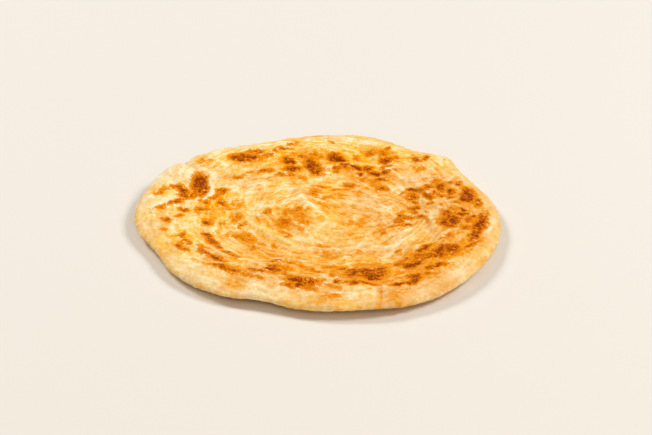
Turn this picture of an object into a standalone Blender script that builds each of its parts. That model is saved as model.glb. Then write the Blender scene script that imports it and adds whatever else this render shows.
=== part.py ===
"""A pan-fried layered flatbread, lying flat: one soft disc with a rounded, lifted rim.

Metres, +Z up. The bread lies on z = 0 and the origin is under the middle of its box. +Y points away
from the side that is usually seen. Directions are in degrees, anticlockwise from +X.
"""

import math

import bmesh
import bpy
import numpy as np

# The disc
BREAD_WIDTH = 0.220
MEAN_RADIUS = 0.500 * BREAD_WIDTH
THICKNESS = 0.0054
NOSE_DEPTH = 0.0080
UNDER_NOSE_DEPTH = 0.0036

# How it lies: flat in the middle, with the rim standing clear of the surface
RESTING_SHARE = 0.44
LIFTED_SHARE = 0.93
LIP_HEIGHT = 0.0028
PUFFED_RING_SHARE = 0.78
PUFFED_RING_WIDTH = 0.17
PUFFED_RING_HEIGHT = 0.0014
RIM_WAVE_HEIGHT = 0.0010
RIM_WAVE_LENGTH = 0.050

# Where the outline leaves a circle: direction, spread, metres outwards
OUTLINE_CHANGES = (
    (-60, 26, 0.0056),
    (-104, 8, -0.0036),
    (-152, 13, -0.0050),
    (26, 11, -0.0030),
    (41, 3, 0.0030),
    (53, 9, -0.0020),
    (76, 11, 0.0042),
    (112, 27, -0.0066),
    (137, 6, 0.0012),
    (147, 6, -0.0034),
    (160, 12, -0.0018),
    (155, 2.5, -0.0008),
)

# Where the rim stands higher or lower than the rest: direction, spread, metres up
LIFT_CHANGES = (
    (85, 48, 0.0022),
    (153, 11, 0.0040),
    (143, 4, -0.0010),
    (44, 8, 0.0030),
    (-107, 5, 0.0010),
    (-73, 4, 0.0009),
    (-20, 30, 0.0010),
)

# Soft folds and creases on the top: metres high, half width, and the points that each runs through.
# A share of the run fades out at each end, and a share of the height is a crest, narrower than the rest.
FOLD_FADE_SHARE = 0.3
FOLD_CREST_SHARE = 0.3
FOLD_CREST_WIDTH = 0.40
FOLDS = (
    # the ridge over the middle, and the arc round its left
    (0.0030, 0.0066, ((-0.034, 0.024), (-0.013, 0.033), (-0.009, 0.014), (-0.002, -0.002),
                      (0.015, -0.026))),
    (0.0014, 0.0042, ((-0.045, 0.010), (-0.043, -0.007), (-0.038, -0.021), (-0.024, -0.033),
                      (-0.010, -0.040))),
    (0.0010, 0.0024, ((-0.009, -0.020), (-0.004, -0.030), (0.000, -0.035))),
    (0.0010, 0.0030, ((0.009, -0.038), (0.015, -0.046), (0.018, -0.058))),
    # round the hollow beside the left lobe
    (0.0016, 0.0040, ((-0.076, 0.045), (-0.066, 0.040), (-0.063, 0.026), (-0.067, 0.012),
                      (-0.076, 0.005))),
    (-0.0016, 0.0028, ((-0.086, 0.067), (-0.084, 0.055), (-0.081, 0.047), (-0.072, 0.040))),
    # running in from the back rim
    (0.0013, 0.0045, ((-0.009, 0.100), (-0.007, 0.079), (-0.003, 0.057))),
    (0.0012, 0.0045, ((0.014, 0.096), (0.019, 0.070), (0.023, 0.054))),
    (0.0012, 0.0050, ((0.036, 0.096), (0.040, 0.070))),
    # on the right
    (0.0012, 0.0032, ((0.062, 0.002), (0.068, -0.009), (0.071, -0.024))),
    (0.0012, 0.0030, ((0.024, -0.035), (0.038, -0.041), (0.047, -0.037), (0.057, -0.026))),
    # along the front, with its pleats
    (0.0012, 0.0060, ((-0.057, -0.067), (-0.030, -0.082), (-0.008, -0.086), (0.016, -0.087),
                      (0.044, -0.080), (0.064, -0.066), (0.079, -0.046), (0.089, -0.024))),
    (0.0009, 0.0030, ((-0.080, -0.022), (-0.070, -0.042), (-0.052, -0.060), (-0.030, -0.071))),
    (-0.0022, 0.0026, ((0.036, -0.092), (0.035, -0.104), (0.034, -0.124))),
    (-0.0010, 0.0022, ((-0.032, -0.096), (-0.027, -0.118))),
    (-0.0010, 0.0022, ((-0.021, -0.098), (-0.017, -0.120))),
    (-0.0009, 0.0022, ((-0.009, -0.100), (-0.007, -0.122))),
)

# The crease inside the right rim, where the top layer ends short of the one below
RIM_CREASE_INSET = 0.0046
RIM_CREASE_WIDTH = 0.0013
RIM_CREASE_DEPTH = 0.0008
RIM_CREASE_DIRECTION = 6
RIM_CREASE_SPREAD = 34

# Broad rises and hollows on the top: place, half length, half width, turn, metres high
SWELLINGS = (
    ((-0.014, -0.008), 0.028, 0.024, 20, 0.0034),
    ((0.034, 0.006), 0.034, 0.024, -12, -0.0014),
    ((-0.091, 0.036), 0.014, 0.011, 60, 0.0018),
    ((-0.095, 0.006), 0.013, 0.009, 80, 0.0012),
    ((-0.072, 0.026), 0.008, 0.014, 0, -0.0010),
    ((-0.046, 0.074), 0.020, 0.010, 10, 0.0010),
    ((0.006, 0.076), 0.008, 0.018, 6, 0.0010),
    ((0.076, 0.006), 0.012, 0.010, 30, 0.0014),
    ((0.070, 0.027), 0.006, 0.005, 0, 0.0012),
    ((-0.055, -0.028), 0.020, 0.008, -38, 0.0010),
    ((0.074, -0.042), 0.022, 0.007, 48, 0.0012),
    ((0.030, -0.076), 0.015, 0.008, 8, 0.0006),
    ((-0.008, -0.089), 0.012, 0.007, -14, 0.0008),
)

# Small blisters, drawn by a seeded rule between the middle and the rim
BLISTER_COUNT = 150
BLISTER_SEED = 11
BLISTER_HALF_WIDTH = (0.0030, 0.0075)
BLISTER_HEIGHT = (-0.0006, 0.0010)
BLISTER_REACH = (0.30, 0.95)

# The layers of the coiled dough, which wind round the middle swelling and show in places as low steps
LAYER_CENTRE = (0.004, -0.006)
LAYER_PITCH = 0.0105
LAYER_HEIGHT = 0.0011
LAYER_STEP_SHARE = 0.16
LAYER_WANDER = 1.5
LAYER_WANDER_LENGTH = 0.046
LAYER_SHOWS_LENGTH = 0.022
LAYER_REACH = (0.80, 0.92)

# Unevenness of the top at two sizes, and of the lifted part underneath: lump length, metres high, seed
LUMPS = (
    (0.026, 0.0009, 3),
    (0.012, 0.0006, 4),
)
UNDER_LUMPS = (
    (0.030, 0.0007, 12),
    (0.015, 0.0006, 13),
)

# The triangles: spacing of the rings on each side, and the slopes of the rings round the nose
TOP_SPACING = 0.0033
UNDER_SPACING = 0.0060
NOSE_SPACING = 0.0036
NOSE_SLOPES = (62, 34, 6, -28, -62)


def bell(offset, spread):
    """1 at the middle, falling smoothly to nothing within twice the spread."""
    return np.exp(-((offset / spread) ** 2))


def ramp(value, low, high):
    """0 below low, 1 above high, smooth between."""
    share = np.clip((value - low) / (high - low), 0, 1)
    return share * share * (3 - 2 * share)


def lumps(x, y, length, seed):
    """Smooth noise between about -1 and 1, with lumps of that length."""
    size = 64
    spins = np.random.default_rng(seed).uniform(0, 2 * np.pi, (size, size))
    u, v = x / length + size / 2, y / length + size / 2
    column, row = np.floor(u).astype(int), np.floor(v).astype(int)
    u, v = u - column, v - row
    fade_u, fade_v = ramp(u, 0, 1), ramp(v, 0, 1)
    total = 0
    for right in (0, 1):
        for up in (0, 1):
            spin = spins[(row + up) % size, (column + right) % size]
            lean = np.cos(spin) * (u - right) + np.sin(spin) * (v - up)
            total = total + lean * np.abs(1 - right - fade_u) * np.abs(1 - up - fade_v)
    return 1.6 * total


def round_the_rim(direction, changes):
    """The sum of changes that each belong to one direction."""
    total = np.zeros_like(direction)
    for middle, spread, amount in changes:
        total += amount * bell((direction - middle + 180) % 360 - 180, spread)
    return total


def outline(direction):
    """Distance from the plan's middle to the bread's edge."""
    return MEAN_RADIUS + round_the_rim(direction, OUTLINE_CHANGES)


def softened(path, rounds=3):
    """The path with its corners cut, so that it runs as one curve."""
    points = np.array(path)
    for _ in range(rounds):
        first, second = points[:-1], points[1:]
        cut = np.stack([0.75 * first + 0.25 * second, 0.25 * first + 0.75 * second], 1)
        points = np.vstack([points[:1], cut.reshape(-1, 2), points[-1:]])
    return points


def fold(x, y, path, half_width):
    """1 along the path, falling away to its sides and fading out towards its two ends."""
    path = softened(path)
    nearest, reached = np.full_like(x, np.inf), np.zeros_like(x)
    for k, ((x0, y0), (x1, y1)) in enumerate(zip(path, path[1:])):
        run_x, run_y = x1 - x0, y1 - y0
        along = ((x - x0) * run_x + (y - y0) * run_y) / (run_x**2 + run_y**2)
        along = np.clip(along, 0, 1)
        distance = np.hypot(x - x0 - along * run_x, y - y0 - along * run_y)
        closer = distance < nearest
        nearest = np.where(closer, distance, nearest)
        reached = np.where(closer, (k + along) / (len(path) - 1), reached)
    ends = ramp(reached, 0, FOLD_FADE_SHARE) * ramp(1 - reached, 0, FOLD_FADE_SHARE)
    crest = bell(nearest, FOLD_CREST_WIDTH * half_width)
    return ends * (crest * FOLD_CREST_SHARE + bell(nearest, half_width) * (1 - FOLD_CREST_SHARE))


def swelling(x, y, place, half_length, half_width, turn, height):
    """One oval rise, or a hollow where the height is below 0."""
    cos, sin = math.cos(math.radians(turn)), math.sin(math.radians(turn))
    along = ((x - place[0]) * cos + (y - place[1]) * sin) / half_length
    across = ((y - place[1]) * cos - (x - place[0]) * sin) / half_width
    return height * np.exp(-((along**2 + across**2) ** 1.3))


def blisters(x, y):
    """Small blisters and dimples between the middle and the rim."""
    draw = np.random.default_rng(BLISTER_SEED)
    total = np.zeros_like(x)
    for _ in range(BLISTER_COUNT):
        direction = draw.uniform(0, 360)
        reach = MEAN_RADIUS * math.sqrt(draw.uniform(BLISTER_REACH[0] ** 2, BLISTER_REACH[1] ** 2))
        place = reach * math.cos(math.radians(direction)), reach * math.sin(math.radians(direction))
        half_length, half_width = draw.uniform(*BLISTER_HALF_WIDTH, 2)
        height = draw.uniform(*BLISTER_HEIGHT)
        total += swelling(x, y, place, half_length, half_width, direction + 90, height)
    return total


def layer_turns(x, y):
    """How many turns of the coiled dough lie between its middle and each place."""
    x, y = x - LAYER_CENTRE[0], y - LAYER_CENTRE[1]
    wander = LAYER_WANDER * lumps(x, y, LAYER_WANDER_LENGTH, 8) + 0.3 * lumps(x, y, 0.016, 9)
    return np.hypot(x, y) / LAYER_PITCH + np.arctan2(y, x) / (2 * np.pi) + wander


def layers_show(x, y):
    """1 where the edges of the layers show, 0 at the rim and where they are pressed flat."""
    inside = 1 - ramp(np.hypot(x, y) / MEAN_RADIUS, *LAYER_REACH)
    return inside * ramp(lumps(x, y, LAYER_SHOWS_LENGTH, 10), -0.2, 0.5)


def layers(x, y):
    """Low steps where one layer ends on the next, each rising fast and falling away slowly."""
    share = layer_turns(x, y) % 1
    return LAYER_HEIGHT * layers_show(x, y) * (ramp(share, 0, LAYER_STEP_SHARE) - share)


def uneven(x, y, sizes):
    """Lumps of several sizes, added up."""
    return sum(height * lumps(x, y, length, seed) for length, height, seed in sizes)


def relief(x, y):
    """How far the top stands above or below an even one."""
    total = layers(x, y) + blisters(x, y)
    for height, half_width, path in FOLDS:
        total += height * fold(x, y, path, half_width)
    for place, half_length, half_width, turn, height in SWELLINGS:
        total += swelling(x, y, place, half_length, half_width, turn, height)
    return total + uneven(x, y, LUMPS)


def bread_height(x, y, slope):
    """Height of the surface. The slope is 90 on the top, 0 at the very edge and -90 underneath."""
    direction = np.degrees(np.arctan2(y, x))
    share = np.hypot(x, y) / outline(direction)
    lifted = ramp(share, RESTING_SHARE, LIFTED_SHARE)
    wave = RIM_WAVE_HEIGHT * lumps(x, y, RIM_WAVE_LENGTH, 2)
    under = lifted * (LIP_HEIGHT + round_the_rim(direction, LIFT_CHANGES) + wave)
    middle = under + THICKNESS / 2
    if slope < 0:
        below = THICKNESS / 2 + lifted * uneven(x, y, UNDER_LUMPS)
        return middle + below * math.sin(math.radians(slope))
    ring = PUFFED_RING_HEIGHT * bell(share - PUFFED_RING_SHARE, PUFFED_RING_WIDTH)
    inset = outline(direction) - np.hypot(x, y)
    shows = RIM_CREASE_DEPTH * bell(direction - RIM_CREASE_DIRECTION, RIM_CREASE_SPREAD)
    crease = shows * bell(inset - RIM_CREASE_INSET, RIM_CREASE_WIDTH)
    above = THICKNESS / 2 + ring + relief(x, y) - crease
    return middle + above * math.sin(math.radians(slope))


def add_ring(bm, share, slope, spacing):
    """A ring of vertices. The share runs from the middle to where the nose starts to turn down."""
    count = max(1, round(2 * math.pi * MEAN_RADIUS * share / spacing))
    direction = np.arange(count) * 360 / count
    nose = NOSE_DEPTH if slope >= 0 else UNDER_NOSE_DEPTH
    reach = (outline(direction) - nose) * share + nose * math.cos(math.radians(slope))
    x = reach * np.cos(np.radians(direction))
    y = reach * np.sin(np.radians(direction))
    return [bm.verts.new(place) for place in zip(x, y, bread_height(x, y, slope))]


def stitch(bm, first, second):
    """Triangles between two rings, whose numbers of vertices may differ."""
    steps = [((k + 0.5) / len(ring), ring is second, k) for ring in (first, second) if len(ring) > 1
             for k in range(len(ring))]
    at_first = at_second = 0
    for _, on_second, k in sorted(steps):
        if on_second:
            bm.faces.new((second[k], second[(k + 1) % len(second)], first[at_first % len(first)]))
            at_second += 1
        else:
            bm.faces.new((second[at_second % len(second)], first[(k + 1) % len(first)], first[k]))
            at_first += 1


def sheet_shares(spacing):
    """Even steps from the middle out to where the nose starts."""
    return np.linspace(0, 1, round(MEAN_RADIUS / spacing) + 1)


def bread_mesh():
    """The whole closed skin: top from the middle out, round the nose, and back in underneath."""
    bm = bmesh.new()
    rings = [add_ring(bm, share, 90, TOP_SPACING) for share in sheet_shares(TOP_SPACING)]
    rings += [add_ring(bm, 1, slope, NOSE_SPACING) for slope in NOSE_SLOPES]
    rings += [add_ring(bm, share, -90, UNDER_SPACING) for share in sheet_shares(UNDER_SPACING)[::-1]]
    for first, second in zip(rings, rings[1:]):
        stitch(bm, first, second)
    corners = np.array([vertex.co for vertex in bm.verts])
    middle = (corners.min(0) + corners.max(0)) / 2
    bmesh.ops.translate(bm, verts=bm.verts, vec=(-middle[0], -middle[1], -corners[:, 2].min()))
    mesh = bpy.data.meshes.new("paratha")
    bm.to_mesh(mesh)
    bm.free()
    mesh.shade_smooth()
    return mesh


def golden_dough():
    """Cooked wheat dough with a little fat on it: cream to gold, softly shining."""
    material = bpy.data.materials.new("golden dough")
    material.use_nodes = True
    shader = material.node_tree.nodes["Principled BSDF"]
    shader.inputs["Base Color"].default_value = (0.83, 0.52, 0.22, 1)
    shader.inputs["Roughness"].default_value = 0.55
    shader.inputs["Metallic"].default_value = 0
    return material


def main():
    for thing in list(bpy.data.objects):
        bpy.data.objects.remove(thing, do_unlink=True)
    bread = bpy.data.objects.new("paratha", bread_mesh())
    bread.data.materials.append(golden_dough())
    bpy.context.scene.collection.objects.link(bread)


main()
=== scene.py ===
"""A pan-fried layered flatbread: its crust, pan marks and sheen, on a pale studio floor.

Metres, +Z up. The bread lies on z = 0 with +Y away from the camera. Directions are in degrees,
anticlockwise from +X.
"""

import math

import bpy
import numpy as np
from bpy.props import FloatProperty, FloatVectorProperty, PointerProperty
from mathutils import Matrix, Vector, noise


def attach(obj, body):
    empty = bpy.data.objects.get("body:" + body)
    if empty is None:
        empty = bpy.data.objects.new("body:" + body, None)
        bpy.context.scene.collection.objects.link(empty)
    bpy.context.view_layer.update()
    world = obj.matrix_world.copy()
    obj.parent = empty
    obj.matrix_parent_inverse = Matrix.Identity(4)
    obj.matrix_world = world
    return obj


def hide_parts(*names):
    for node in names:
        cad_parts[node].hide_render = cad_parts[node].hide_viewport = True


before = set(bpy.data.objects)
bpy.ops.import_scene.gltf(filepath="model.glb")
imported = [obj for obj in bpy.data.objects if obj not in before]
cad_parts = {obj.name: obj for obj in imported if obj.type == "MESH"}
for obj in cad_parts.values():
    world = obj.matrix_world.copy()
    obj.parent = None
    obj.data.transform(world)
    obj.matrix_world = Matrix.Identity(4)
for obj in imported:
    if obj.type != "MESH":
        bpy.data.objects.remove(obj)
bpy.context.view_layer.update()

bl_info = {
    "name": "Pan-fried layered flatbread",
    "version": (1, 0, 0),
    "blender": (4, 5, 0),
    "location": "3D View > Sidebar > Flatbread",
    "description": "Builds a toasted layered flatbread and a pale studio around it",
    "category": "Add Mesh",
}

# The disc
BREAD_WIDTH = 0.220
MEAN_RADIUS = 0.500 * BREAD_WIDTH
THICKNESS = 0.0054
NOSE_DEPTH = 0.0080
UNDER_NOSE_DEPTH = 0.0036

# How it lies: flat in the middle, with the rim standing clear of the surface
RESTING_SHARE = 0.44
LIFTED_SHARE = 0.93
LIP_HEIGHT = 0.0028
PUFFED_RING_SHARE = 0.78
PUFFED_RING_WIDTH = 0.17
PUFFED_RING_HEIGHT = 0.0014
RIM_WAVE_HEIGHT = 0.0010
RIM_WAVE_LENGTH = 0.050
RIM_WAVE_SEED = 2

# Where the outline leaves a circle: direction, spread, metres outwards
OUTLINE_CHANGES = (
    (-60, 26, 0.0056),
    (-104, 8, -0.0036),
    (-152, 13, -0.0050),
    (26, 11, -0.0030),
    (41, 3, 0.0030),
    (53, 9, -0.0020),
    (76, 11, 0.0042),
    (112, 27, -0.0066),
    (137, 6, 0.0012),
    (147, 6, -0.0034),
    (160, 12, -0.0018),
    (155, 2.5, -0.0008),
)

# Where the rim stands higher or lower than the rest: direction, spread, metres up
LIFT_CHANGES = (
    (85, 48, 0.0022),
    (153, 11, 0.0040),
    (143, 4, -0.0010),
    (44, 8, 0.0030),
    (-107, 5, 0.0010),
    (-73, 4, 0.0009),
    (-20, 30, 0.0010),
)

# Soft folds and creases on the top: metres high, half width, and the points that each runs through.
# A share of the run fades out at each end, and a share of the height is a crest, narrower than the rest.
FOLD_FADE_SHARE = 0.3
FOLD_CREST_SHARE = 0.3
FOLD_CREST_WIDTH = 0.40
FOLDS = (
    # the ridge over the middle, and the arc round its left
    (0.0030, 0.0066, ((-0.034, 0.024), (-0.013, 0.033), (-0.009, 0.014), (-0.002, -0.002),
                      (0.015, -0.026))),
    (0.0014, 0.0042, ((-0.045, 0.010), (-0.043, -0.007), (-0.038, -0.021), (-0.024, -0.033),
                      (-0.010, -0.040))),
    (0.0010, 0.0024, ((-0.009, -0.020), (-0.004, -0.030), (0.000, -0.035))),
    (0.0010, 0.0030, ((0.009, -0.038), (0.015, -0.046), (0.018, -0.058))),
    # round the hollow beside the left lobe
    (0.0016, 0.0040, ((-0.076, 0.045), (-0.066, 0.040), (-0.063, 0.026), (-0.067, 0.012),
                      (-0.076, 0.005))),
    (-0.0016, 0.0028, ((-0.086, 0.067), (-0.084, 0.055), (-0.081, 0.047), (-0.072, 0.040))),
    # running in from the back rim
    (0.0013, 0.0045, ((-0.009, 0.100), (-0.007, 0.079), (-0.003, 0.057))),
    (0.0012, 0.0045, ((0.014, 0.096), (0.019, 0.070), (0.023, 0.054))),
    (0.0012, 0.0050, ((0.036, 0.096), (0.040, 0.070))),
    # on the right
    (0.0012, 0.0032, ((0.062, 0.002), (0.068, -0.009), (0.071, -0.024))),
    (0.0012, 0.0030, ((0.024, -0.035), (0.038, -0.041), (0.047, -0.037), (0.057, -0.026))),
    # along the front, with its pleats
    (0.0012, 0.0060, ((-0.057, -0.067), (-0.030, -0.082), (-0.008, -0.086), (0.016, -0.087),
                      (0.044, -0.080), (0.064, -0.066), (0.079, -0.046), (0.089, -0.024))),
    (0.0009, 0.0030, ((-0.080, -0.022), (-0.070, -0.042), (-0.052, -0.060), (-0.030, -0.071))),
    (-0.0022, 0.0026, ((0.036, -0.092), (0.035, -0.104), (0.034, -0.124))),
    (-0.0010, 0.0022, ((-0.032, -0.096), (-0.027, -0.118))),
    (-0.0010, 0.0022, ((-0.021, -0.098), (-0.017, -0.120))),
    (-0.0009, 0.0022, ((-0.009, -0.100), (-0.007, -0.122))),
)

# The crease inside the right rim, where the top layer ends short of the one below
RIM_CREASE_INSET = 0.0046
RIM_CREASE_WIDTH = 0.0013
RIM_CREASE_DEPTH = 0.0008
RIM_CREASE_DIRECTION = 6
RIM_CREASE_SPREAD = 34

# Broad rises and hollows on the top: place, half length, half width, turn, metres high. A power above 1
# makes each flatter in its middle and steeper at its sides.
SWELLING_POWER = 1.3
SWELLINGS = (
    ((-0.014, -0.008), 0.028, 0.024, 20, 0.0034),
    ((0.034, 0.006), 0.034, 0.024, -12, -0.0014),
    ((-0.091, 0.036), 0.014, 0.011, 60, 0.0018),
    ((-0.095, 0.006), 0.013, 0.009, 80, 0.0012),
    ((-0.072, 0.026), 0.008, 0.014, 0, -0.0010),
    ((-0.046, 0.074), 0.020, 0.010, 10, 0.0010),
    ((0.006, 0.076), 0.008, 0.018, 6, 0.0010),
    ((0.076, 0.006), 0.012, 0.010, 30, 0.0014),
    ((0.070, 0.027), 0.006, 0.005, 0, 0.0012),
    ((-0.055, -0.028), 0.020, 0.008, -38, 0.0010),
    ((0.074, -0.042), 0.022, 0.007, 48, 0.0012),
    ((0.030, -0.076), 0.015, 0.008, 8, 0.0006),
    ((-0.008, -0.089), 0.012, 0.007, -14, 0.0008),
)

# Small blisters, drawn by a seeded rule between the middle and the rim
BLISTER_COUNT = 150
BLISTER_SEED = 11
BLISTER_HALF_WIDTH = (0.0030, 0.0075)
BLISTER_HEIGHT = (-0.0006, 0.0010)
BLISTER_REACH = (0.30, 0.95)

# The layers of the coiled dough, which wind round the middle swelling and show in places as low steps
LAYER_CENTRE = (0.004, -0.006)
LAYER_PITCH = 0.0105
LAYER_HEIGHT = 0.0011
LAYER_STEP_SHARE = 0.16
LAYER_PATCH_LENGTH = 0.022
LAYER_PATCH_SEED = 10
LAYER_PATCH_EDGE = (-0.2, 0.5)
LAYER_REACH = (0.80, 0.92)

# Unevenness at two sizes, each with its lump length, amount and seed: by how many turns the layers
# wander, and how high the lumps are on the top and under the lifted rim
LAYER_WANDERS = (
    (0.046, 1.5, 8),
    (0.016, 0.3, 9),
)
LUMPS = (
    (0.026, 0.0009, 3),
    (0.012, 0.0006, 4),
)
UNDER_LUMPS = (
    (0.030, 0.0007, 12),
    (0.015, 0.0006, 13),
)

# Slopes at which the mesh's rings run round the rim, from the top down and in underneath
NOSE_SLOPES = (84, 78, 72, 66, 60, 54, 48, 42, 35, 28, 20, 10, 0, -12, -25, -40, -55, -72)

# Random draws come as a square of this many cells each way, which then repeats. The gain brings the lumps
# to between about -1 and 1.
CELLS = 64
LUMP_GAIN = 1.6

# Fine relief, too small for the solid: bubbles under the skin, fibres that run with the layers, crumb,
# veins where sheets of dough overlap, and the small pleats of the rim
BUBBLE_SPACING = 0.0036
BUBBLE_SEED = 5
BUBBLE_PLACE_IN_CELL = (0.2, 0.8)
BUBBLE_RADIUS = (0.0009, 0.0022)
BUBBLE_SPREAD_SHARE = 0.7
BUBBLE_HEIGHT = (-0.00022, 0.00034)
FIBRE_LENGTH = 0.013
FIBRE_PITCH = 0.0021
FIBRE_HEIGHT = 0.00012
FIBRE_WANDERS = (
    (0.060, 0.0060, 23),
    (0.013, 0.0010, 24),
)
CRUMBS = (
    (0.0050, 0.00026, 21),
    (0.0022, 0.00012, 22),
)
VEIN_LENGTH = 0.018
VEIN_PITCH = 0.0085
VEIN_SHARPNESS = 0.10
VEIN_HEIGHT = 0.00040
VEIN_PATCH_LENGTH = 0.020
VEIN_PATCH_SEED = 26
VEIN_PATCH_EDGE = (-0.3, 0.2)
RIM_PLEAT_COUNT = 256
RIM_PLEAT_HEIGHT = 0.0070
RIM_PLEAT_DEPTH = 0.00065
RIM_PLEAT_SEED = 25

# Where the fibres leave rings round the middle and run level instead: the place, the value that makes
# both agree there, half width, turn in degrees
LEVEL_PLACE = (0.028, 0.012)
LEVEL_START = 0.0096
LEVEL_HALF_WIDTH = 0.030
LEVEL_TURN = -20

# The tables of marks and areas below are in millimetres and degrees
MM = 0.001

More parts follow.
